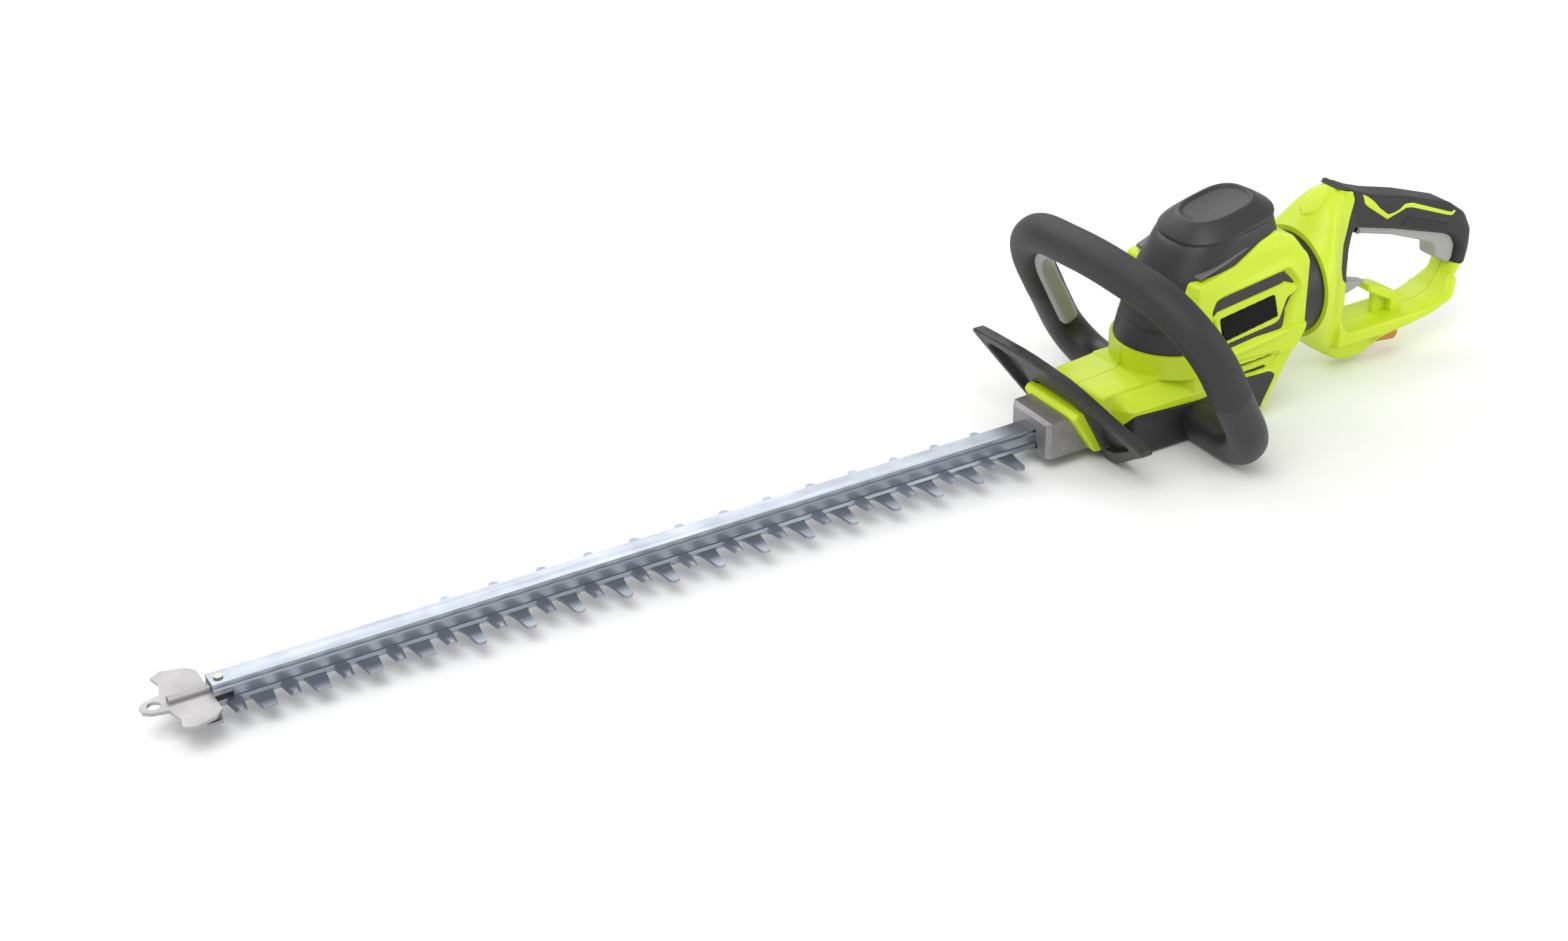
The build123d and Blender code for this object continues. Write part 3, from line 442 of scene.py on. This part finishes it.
gloss = moulded("gloss_black_plate", "#060606", "#040404", 0.3, shine=0.12)
dress(gloss, "side_badges")
badge_line = rounded([(568.8, 74.6), (618.4, 81.6), (623.2, 62.8), (573.4, 54.6)], 2.2)
badges = join_up("badges", *skin(badge_line, even(41.8), 0.5, 1.2, groove=36.0), gloss)
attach(badges, "body")
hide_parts("side_badges")

# ---------------------------------------------------------------------------------------------
# Lower shell: black glass-filled nylon, carrying the gear case and the roots of the front handle.

base_line = rounded([(478, -11), (497, 17), (557, 14), (594, 21), (619, 20.4), (624, 17), (609, -12),
                     (600, -17), (498, -17), (486, -15)], 2.5)


def base_width(x, z):
    """Half width of the lower shell, which flares from the guard out to the flanks."""
    half = 29 + 12.6 * step_to(x, 486, 500)
    return half - 1.2 * step_to(z, 9, 4) * (x < 590) + 1.0 * step_to(x, 589, 592)


lower_skin = skin(base_line, base_width, body_edge, 0.9, body_line, 0.25)
lower_shell = join_up("lower_shell", *lower_skin, black)
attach(lower_shell, "body")
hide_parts("lower_housing")

# ---------------------------------------------------------------------------------------------
# Motor shroud: black moulding over the motor, round in front and drawn in towards its tilted top.


def grid_faces(rows, columns, round_rows=False):
    """Quads of a grid whose columns close on themselves, and whose rows may too."""
    i = np.arange(rows - (not round_rows))[:, None]
    j = np.arange(columns)[None, :]
    a, b = i * columns + j, (i + 1) % rows * columns + j
    return np.stack([a, b, (i + 1) % rows * columns + (j + 1) % columns, i * columns + (j + 1) % columns],
                    -1).reshape(-1, 4)


def squared(value, power):
    """A cosine or sine bent so that a circle made of them becomes a superellipse of that power."""
    return np.abs(value) ** power * np.sign(value)


def tub(front, rear, half, front_round, rear_round, power=2.6, count=144):
    """Plan outline of a tub: x from front to rear and |y| up to half, each corner a quarter
    superellipse whose length along x is its round."""
    t = np.linspace(0, 2 * np.pi, count, endpoint=False)
    qx, qy = squared(np.cos(t), 2 / power), squared(np.sin(t), 2 / power)
    x = np.where(np.cos(t) > 0, rear - rear_round + rear_round * qx, front + front_round + front_round * qx)
    return np.stack([x, half * qy], -1)


def loft(name, rings, material, crease=38.0):
    """A closed skin through rings of equal count, with a flat lid on the first and last."""
    rings = np.asarray(rings, float)
    count = rings.shape[1]
    vertices = np.concatenate([rings.reshape(-1, 3), rings[0].mean(0)[None], rings[-1].mean(0)[None]])
    faces = grid_faces(rings.shape[0], count).tolist()
    last = rings.shape[0] * count
    for ring_start, hub in ((0, last), (last - count, last + 1)):
        faces += [[ring_start + j, ring_start + (j + 1) % count, hub] for j in range(count)]
    return join_up(name, vertices, faces, material, crease)


flank_z, flank_half = [50, 66, 98, 124, 140], [41.0, 40.4, 39.2, 35.0, 30.5]


def shroud_ring(z, out):
    """One level of the shroud, grown outwards by out."""
    front = np.interp(z, [50, 74, 102, 121, 140], [517.5, 526, 539, 551, 562])
    half = np.interp(z, flank_z, flank_half)
    rear = np.interp(z, [50, 96, 122, 140], [647, 645, 635, 631])
    power = np.interp(z, [50, 70, 140], [2.0, 2.15, 2.5])
    return tub(front - out, rear + out, half + out, np.interp(z, [50, 140], [42, 34]) + out, 24 + out, power)


cap_tilt = radians(12)
levels = [(46, -0.6), (51.4, -0.6), (52, 0), (64.6, 0.2), (65.4, -0.6), (66.6, -0.6), (67.4, 0),
          *[(z, 0) for z in np.linspace(70, 138, 18)]]
rings = []
for z, out in levels:
    plan = shroud_ring(z, out)
    top = 123.5 + (plan[:, 0] - 554) * tan(cap_tilt)
    rings.append(np.column_stack([plan, np.minimum(z, top)]))
shroud = loft("shroud", rings, black, 30)
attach(shroud, "body")
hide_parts("motor_shroud")

# Grille bars: grey nylon, one in the long air slot on each flank of the shroud.

bar_grey = moulded("dark_grey_nylon", "#626262", "#5A5A5A", 0.5)
bar_line = rounded([(553, 107.6), (602, 125.2), (606.5, 124.2), (603.5, 122.6), (553, 105.4)], 0.6)


def shroud_flank(x, z):
    """Half width of the shroud's flank at a height, drawn in towards its ends as its plan is."""
    half = np.interp(z, flank_z, flank_half)
    return half - 1.9 * step_to(x, 575, 549) - 1.2 * step_to(z, 118, 126)


bar_skin = skin(bar_line, lambda x, z: shroud_flank(x, z) + 0.35, 0.4, 0.7, groove=30.0)
grille_bars = join_up("grille_bars", *bar_skin, bar_grey)
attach(grille_bars, "body")

# Cap: a separate black lid, tilted back, with a deep rim and a shallow sunk panel on top.


def cap_ring(lift, shrink, half, front_round, rear_round):
    """One ring of the cap in its own tilted plane, lifted along that plane's normal."""
    plan = tub(554 + shrink, 632 - shrink * 0.8, half, front_round, rear_round)
    t = cap_tilt
    middle = 593.0
    along = (plan[:, 0] - middle) / np.cos(t)
    return np.column_stack([middle + along * np.cos(t) - lift * np.sin(t), plan[:, 1],
                            124.5 + 39 * tan(t) + along * np.sin(t) + lift * np.cos(t)])


cap_rings = [cap_ring(*values) for values in (
    (-3.5, 2.0, 31.5, 36, 30), (-2.6, 0.6, 33.0, 36, 30), (-1.0, 0.0, 33.6, 36, 30), (0.4, 0.2, 33.4, 36, 30),
    (1.4, 1.0, 32.6, 36, 30), (6.6, 8.6, 25.6, 30, 26), (8.8, 11.6, 22.8, 28, 24), (9.8, 13.6, 21.0, 26, 22),
    (10.0, 15.0, 19.8, 25, 21), (9.7, 16.0, 19.0, 24, 20), (8.4, 17.2, 18.0, 23, 19),
    (8.2, 18.4, 17.0, 22, 18))]
cap = loft("cap", cap_rings, black, 50)
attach(cap, "body")
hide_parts("motor_cap")

# ---------------------------------------------------------------------------------------------
# Front handle: a nylon loop in two shells with a soft sleeve over its top, bolted to the lower
# shell at both roots, so that it can be held from above or from either side.


rubber = moulded("black_overmoulded_rubber", "#262627", "#212122", 0.6)
dress(rubber, "rear_grip")


def bend_through(points, radii, gap=1.5):
    """A plane line through points, its corners turned into arcs of those radii, as evenly spaced points."""
    p = np.asarray(points, float)
    line = [p[:1]]
    for before, corner, after, r in zip(p, p[1:], p[2:], radii):
        u, v = before - corner, after - corner
        u, v = u / np.linalg.norm(u), v / np.linalg.norm(v)
        half = np.arccos(np.clip(u @ v, -1, 1)) / 2
        bisector = (u + v) / np.linalg.norm(u + v)
        centre = corner + bisector * r / np.sin(half)
        start, end = corner + u * r / np.tan(half) - centre, corner + v * r / np.tan(half) - centre
        total = np.arccos(np.clip(start @ end / r ** 2, -1, 1))
        t = np.linspace(0, 1, max(4, int(total * r / gap)))[:, None]
        line.append(centre + (np.sin((1 - t) * total) * start + np.sin(t * total) * end) / np.sin(total))
    line = np.concatenate([*line, p[-1:]])
    gone = np.concatenate([[0], np.cumsum(np.linalg.norm(np.diff(line, axis=0), axis=1))])
    at = np.linspace(0, gone[-1], int(gone[-1] / gap) + 1)
    return np.column_stack([np.interp(at, gone, line[:, k]) for k in (0, 1)]), at


loop_tilt = np.array([-62.0, 120.0]) / np.hypot(62, 120)


def tube(line, across, inward, power=2.0, count=48):
    """A tube along a line in the handle's leaning plane: a superellipse of half width across that plane's
    normal and half height inward, at each point of the line."""
    ahead = np.gradient(line, axis=0)
    ahead /= np.linalg.norm(ahead, axis=1, keepdims=True)
    side = np.column_stack([-ahead[:, 1], ahead[:, 0]])
    t = np.linspace(0, 2 * np.pi, count, endpoint=False)
    c, s = squared(np.cos(t), 2 / power), squared(np.sin(t), 2 / power)
    flat = line[:, None] + side[:, None] * (inward[:, None] * s)[..., None]
    off = across[:, None] * c
    return np.stack([556 + flat[..., 1] * loop_tilt[0] + off * loop_tilt[1], flat[..., 0],
                     -3 + flat[..., 1] * loop_tilt[1] - off * loop_tilt[0]], -1)


loop_points = [(-34, 1.5), (-108, 1.5), (-105, 135), (0, 144.5), (105, 135), (108, 1.5), (34, 1.5)]
loop_line, loop_at = bend_through(loop_points, [34, 58, 260, 58, 34])
middle = np.abs(loop_at - loop_at[-1] / 2)
swell = 13.9 + 0.5 * step_to(middle, 190, 214) - 0.5 * step_to(middle, 222, 262)
sleeve_end = 158.0
bare = swell - 0.7 * (middle < sleeve_end)
root_swell = 1 + 0.12 * step_to(middle, 215, 262)
handle_loop = loft("handle_loop", tube(loop_line, bare, bare * root_swell, 2.2), black)
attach(handle_loop, "body")
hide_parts("loop_front_shell", "loop_rear_shell")

covered = middle < sleeve_end
rest_to_end = sleeve_end - middle[covered]
soft_r = 14.1 - 0.9 * (1 - np.sqrt(np.clip(1 - (1 - np.clip(rest_to_end / 1.6, 0, 1)) ** 2, 0, 1)))
grip_sleeve = loft("grip_sleeve", tube(loop_line[covered], soft_r, soft_r, 2.2), rubber)
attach(grip_sleeve, "body")

# Switch bail: grey nylon bar that lies inside the top of the loop and is squeezed into it.

grey = moulded("grey_moulded_nylon", "#A2A2A1", "#989897", 0.4)
dress(grey, "cooling_fan", "capacitor", "front_switch_bail", "rear_lever", "lock_trigger")
bail_points = [(-93.5, 34), (-91.5, 121.5), (0, 131), (91.5, 121.5), (93.5, 34)]
bail_line, bail_at = bend_through(bail_points, [45, 246, 45])
end_near = np.minimum(bail_at, bail_at[-1] - bail_at)
taper = np.sqrt(np.clip(1 - (1 - np.clip(end_near / 6, 0, 1)) ** 2, 0.02, 1))
bail = loft("bail", tube(bail_line, 7.0 * taper, 6.2 * taper, 3.2), grey)
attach(bail, "front_switch_bail")
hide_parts("front_switch_bail")

# ---------------------------------------------------------------------------------------------
# Hand guard: black nylon wing in front of the loop, with a thick lip and a sunk web behind it.

guard_line = rounded([(-92, 22), (-76, 27), (-52, 36), (-30, 44), (-14, 48), (8, 49), (34, 50.5),
                      (60, 50), (86, 49), (88, 45), (72, 25), (56, 6), (40, -12), (30, -17), (-32, -17),
                      (-44, -14), (-62, -2), (-78, 9), (-91, 17)], 5)
opening_line = rounded([(-29, -30), (-29, 16), (-22, 29), (22, 29), (29, 18), (29, -30)], 4)
web_line = rounded([(34, 41), (68, 43), (74, 38), (48, 4), (38, 2), (34, 10)], 4)
near_web_line = rounded([(-34, 30), (-62, 22), (-78, 17), (-50, 0), (-36, -4)], 4)


def guard_skin(front, back, step=1.0):
    """Front and back faces as grids over y and z, x = front(y, z, d) and x = back(y, z, d), where d is how
    far a point stands in from the outline less the gear case's opening; the border joins them."""
    y, z = np.meshgrid(np.arange(-94, 91, step), np.arange(-19, 54, step), indexing="ij")
    outer, near_y, near_z = inside(guard_line, y, z)
    hole, hole_y, hole_z = inside(opening_line, y, z)
    use_hole = -hole < outer
    into = np.where(use_hole, -hole, outer)
    near_y, near_z = np.where(use_hole, hole_y, near_y), np.where(use_hole, hole_z, near_z)
    snap = into < 0.3 * step
    y, z = np.where(snap, near_y, y), np.where(snap, near_z, z)
    d = np.maximum(np.where(snap, 0, into), 0)
    used = into > 0
    cell = used[:-1, :-1] | used[1:, :-1] | used[:-1, 1:] | used[1:, 1:]
    number = np.arange(y.size).reshape(y.shape)
    quads = np.stack([number[:-1, :-1], number[1:, :-1], number[1:, 1:], number[:-1, 1:]], -1)[cell]
    flat = np.stack([y, z], -1).reshape(-1, 2)[quads]
    across, along = flat[:, 2] - flat[:, 0], flat[:, 3] - flat[:, 1]
    quads = quads[np.abs(across[:, 0] * along[:, 1] - across[:, 1] * along[:, 0]) > 1e-4]
    edges = np.stack([quads, np.roll(quads, -1, 1)], -1).reshape(-1, 2)
    keys = np.sort(edges, 1)
    _, first, count = np.unique(keys[:, 0] * y.size + keys[:, 1], return_index=True, return_counts=True)
    rim = edges[first[count == 1]]
    faces = [quads, quads[:, ::-1] + y.size,
             np.stack([rim[:, 1], rim[:, 0], rim[:, 0] + y.size, rim[:, 1] + y.size], -1)]
    sheets = [np.stack([x, y, z], -1).reshape(-1, 3) for x in (front(y, z, d), back(y, z, d))]
    faces = np.concatenate(faces)
    kept, renamed = np.unique(faces, return_inverse=True)
    return np.concatenate(sheets)[kept], renamed.reshape(faces.shape)


def guard_lean(y, z):
    """X of the guard's leaning face, which sweeps a little forward on the far side."""
    return 474 - 0.52 * z - 0.04 * np.maximum(y - 20, 0)


def guard_front(y, z, d):
    """The leaning front face, rounded at the lip and sunk inside the webs."""
    web = np.maximum(inside(web_line, y, z)[0], inside(near_web_line, y, z)[0])
    sunk = 5.5 * np.clip(web / 1.5, 0, 1)
    return guard_lean(y, z) + 1.6 * (1 - np.clip(d / 1.6, 0, 1)) ** 2 + sunk


def guard_back(y, z, d):
    """The back face, 10.5 mm behind the front at the lip."""
    return guard_lean(y, z) + 10.5 - 1.2 * (1 - np.clip(d / 1.6, 0, 1)) ** 2


guard = join_up("guard", *guard_skin(guard_front, guard_back), black, 32)
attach(guard, "body")
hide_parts("hand_guard")

# ---------------------------------------------------------------------------------------------
# Rear handle: lime nylon halves on a round neck that turns in the body, with a rubber grip
# moulded over their upper part.

frame_outline = rounded([(694, 2), (701, -2), (711, -8), (720, -11), (739, -11.5), (746, -7), (751, 4),
                         (772, 6), (799, 10), (816, 17), (827, 30), (834.5, 42), (822.5, 44), (819, 34),
                         (809, 21), (795, 16.5), (716, 16.5), (711, 19), (713.5, 38), (713.5, 54),
                         (704, 62), (698, 80), (698, 87), (712, 116), (713, 125), (708, 131.2),
                         (698, 131), (694, 129.5)], 3)
grip_outline = rounded([(698, 131.5), (712, 128.5), (722, 124.5), (739, 118.5), (771, 110), (813, 95.5),
                        (829, 84), (837, 69), (837, 55), (834.5, 42), (822.5, 44), (824.5, 56),
                        (819, 66), (811, 70.5), (758, 87), (722, 96.5), (715, 96), (712, 84), (712, 66),
                        (713.5, 54), (704, 62), (698, 80), (698, 87), (712, 116), (713, 125),
                        (708, 131.5)], 2.5)
whole_handle = rounded([(668.6, 21), (684, 11), (700, -1), (711, -8), (720, -11), (739, -11.5),
                        (746, -7), (751, 4), (772, 6), (799, 10), (816, 17), (827, 30), (834.5, 42),
                        (837, 55), (837, 69), (829, 84), (813, 95.5), (771, 110), (739, 118.5),
                        (722, 124.5), (708, 131.5), (698, 131.5), (690, 129), (680, 120),
                        (668.6, 106)], 3.5)
hand_hole = rounded([(711, 19), (716, 16.5), (795, 16.5), (809, 21), (819, 34), (822.5, 44),
                     (824.5, 56), (819, 66), (811, 70.5), (758, 87), (722, 96.5), (715, 96), (712, 84),
                     (712, 66), (713.5, 54), (713.5, 38)], 3.5)


neck_x = [668.5, 672, 678, 685, 692, 700, 708, 716]
neck_top = [105.6, 109, 116, 123.5, 129, 131.3, 130.8, 127]
neck_bottom = [20.8, 19.5, 15.5, 9.5, 4, -1.5, -6.5, -10]
neck_half = [42.4, 42.0, 39.5, 33.5, 26.5, 20.5, 17.0, 15.2]


def neck_width(x, z):
    """Half width of the neck, which goes from a circle to a tall rounded slab as x goes back."""
    top, bottom, half = (np.interp(x, neck_x, row) for row in (neck_top, neck_bottom, neck_half))
    power = 2 + 1.4 * step_to(x, 672, 712)
    rise = np.clip(np.abs(2 * z - top - bottom) / (top - bottom), 0, 0.999)
    return half * (1 - rise ** power) ** (1 / power)


def handle_width(x, z):
    """Half width of the handle: its neck in front, the grip behind and a broader rail below."""
    bar = 14 + 6 * step_to(z, 34, 20) - 8.5 * step_to(z, 7, 2) * step_to(x, 752, 744)
    bar = np.minimum(bar, 20 - 6 * step_to(x, 818, 836))
    bar = bar * step_to(x, 694, 706)
    return np.maximum(neck_width(x, z) * (x < 716), bar)


def handle_edge(x, z):
    """Edge radius: full on the grip, firm on the rail, crisp on the neck."""
    firm = np.where(z < 30, 3.5, 9.0)
    return np.where((x < 712) & (z > 25), 0.8, np.where((x > 708) & (z > 15) & (z < 22), 2.5, firm))


def lever_slot(x, z):
    """Depth of the slot under the grip that the lever moves in."""
    slot_deep = 9.0
    return np.where((x > 718) & (inside(hand_hole, x, z)[0] > -0.5) & (z > 43.5), slot_deep, 0.0)


def rounded_by_hole(x, z, y):
    """Takes the edge round off y near the hand opening."""
    near = np.clip(-inside(hand_hole, x, z)[0], 0, None)
    r = np.where(z < 22, 2.5, 6.0)
    turn = np.clip(near / r, 0, 1)
    return y - r * (1 - np.sqrt(np.clip(1 - (1 - turn) ** 2, 0, 1)))


neck_rings = []
turn = np.linspace(0, 2 * np.pi, 96, endpoint=False)
for x in np.linspace(668.5, 699, 24):
    top, bottom, half = (np.interp(x, neck_x, row) for row in (neck_top, neck_bottom, neck_half))
    power = 2 / (2 + 1.4 * step_to(x, 672, 712))
    height = (top + bottom) / 2 + (top - bottom) / 2 * squared(np.sin(turn), power)
    neck_rings.append(np.column_stack([0 * turn + x, half * squared(np.cos(turn), power), height]))
neck = loft("neck", neck_rings, lime, 34)
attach(neck, "rear_handle")

# The neck's raised pad, which stands a little above the neck's upper line.
pad_rings = []
for x in np.linspace(676, 697, 12):
    top = np.interp(x, neck_x, neck_top)
    wide = 9.0 * np.sqrt(np.clip(1 - ((x - 686.5) / 10.6) ** 4, 0.02, 1))
    ring = 0.5 * np.pi + np.linspace(0, 2 * np.pi, 32, endpoint=False)
    pad_rings.append(np.column_stack([0 * ring + x, wide * squared(np.cos(ring), 0.5),
                                      top - 2.4 + 3.9 * squared(np.sin(ring), 0.5)]))
neck_pad = loft("neck_pad", pad_rings, lime, 34)
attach(neck_pad, "rear_handle")

frame_skin = skin(frame_outline, lambda x, z: rounded_by_hole(x, z, handle_width(x, z)), handle_edge, 0.7,
                  whole_handle, 0.25, 0.4)
handle_frame = join_up("handle_frame", *frame_skin, lime, 34)
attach(handle_frame, "rear_handle")
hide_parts("handle_left", "handle_right")

grip_skin = skin(grip_outline, lambda x, z: rounded_by_hole(x, z, handle_width(x, z) + 0.25), handle_edge,
                 0.7, whole_handle, 9.7, lever_slot)
rear_grip = join_up("rear_grip_cover", *grip_skin, rubber, 34)
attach(rear_grip, "rear_handle")
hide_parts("rear_grip")

# Grip trim: a lime stripe let into each side of the rubber, and raised pads cut into small squares
# above and below it where the palm and fingers press.

stripe_line = rounded([(720.4, 122.5), (722.2, 116.2), (746.5, 98.8), (752, 100.3), (764, 103.4),
                       (770.4, 102), (812.7, 86), (816, 87.2), (815, 89), (812, 88), (770.5, 104.4),
                       (763, 105.6), (753, 102.6), (747, 102.5), (726, 119)], 0.7)
upper_pad_line = rounded([(760, 111.5), (817.5, 92), (819.5, 86), (773, 105.2), (762, 106.8)], 1.2)
lower_pad_line = rounded([(766, 96), (811.5, 80), (810, 74), (760, 90)], 1.2)


def over_grip(x, z, proud):
    """The grip's half width, raised by proud."""
    return rounded_by_hole(x, z, handle_width(x, z) + 0.25) + proud


def checked(x, z):
    """A pad whose face is cut into squares along and across the grip's own slope."""
    along, across = 0.945 * x - 0.327 * z, 0.327 * x + 0.945 * z
    cut = np.minimum(np.abs(np.sin(along * np.pi / 2.6)), np.abs(np.sin(across * np.pi / 2.6)))
    return over_grip(x, z, 0.15 + 0.55 * np.clip(cut / 0.45, 0, 1))


stripe_skin = skin(stripe_line, lambda x, z: over_grip(x, z, 0.4), handle_edge, 0.5, whole_handle, 9.8)
stripe = join_up("grip_stripe", *stripe_skin, lime)
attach(stripe, "rear_handle")
for name, line in (("upper_grip_pads", upper_pad_line), ("lower_grip_pads", lower_pad_line)):
    pads = join_up(name, *skin(line, checked, handle_edge, 0.45, whole_handle, 9.8), rubber, 25)
    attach(pads, "rear_handle")

# Cord hook: part of the handle's rail, a short arm over a drop hole through which the cord is looped.

hook_outline = rounded([(741, 44.5), (756, 40), (768, 33.5), (774, 27), (777, 15), (765, 15), (765, 26),
                        (750, 33.5), (741, 39)], 2.5)
hook_web = rounded([(752, 36), (768, 30), (768, 15), (752, 15)], 1.5)
hook_arm = skin(hook_outline, even(8.6), 1.6, 0.6, groove=0.2)
hook_rib = skin(hook_web, even(2.6), 0.6, 0.8, groove=0.2)
cord_hook = join_up("cord_hook_arm", np.concatenate([hook_arm[0], hook_rib[0]]),
                    np.concatenate([hook_arm[1], hook_rib[1] + len(hook_arm[0])]), lime)
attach(cord_hook, "rear_handle")
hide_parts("cord_hook")

# Lever: grey nylon bar under the grip, with a hooked end that the fingers rest against.

lever_outline = rounded([(719, 99), (758, 92), (812, 74), (823, 66), (825.5, 60), (824, 46),
                         (820.5, 43), (805, 51.5), (804, 61), (799, 65.5), (759, 81), (722, 91)], 3)
lever = join_up("lever", *skin(lever_outline, even(9.0), 2.4, 0.6, groove=0.2), grey)
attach(lever, "rear_lever")
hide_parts("rear_lever")

# Lock trigger: grey fin in the handle's front wall that frees the swivel.

trigger_outline = rounded([(704, 39), (704, 52), (716, 52), (730, 50), (741.5, 46.5), (730, 42.5),
                           (716, 39)], 2.5)
trigger = join_up("trigger", *skin(trigger_outline, even(5.0), 1.8, 0.5, groove=0.2), grey)
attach(trigger, "lock_trigger")
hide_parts("lock_trigger")

# Cord sleeve: a short orange rubber tube that keeps the cord from kinking under the handle.

orange = moulded("orange_cord_sleeve", "#C98A3E", "#BE7E34", 0.55)
dress(orange, "cord_sleeve")
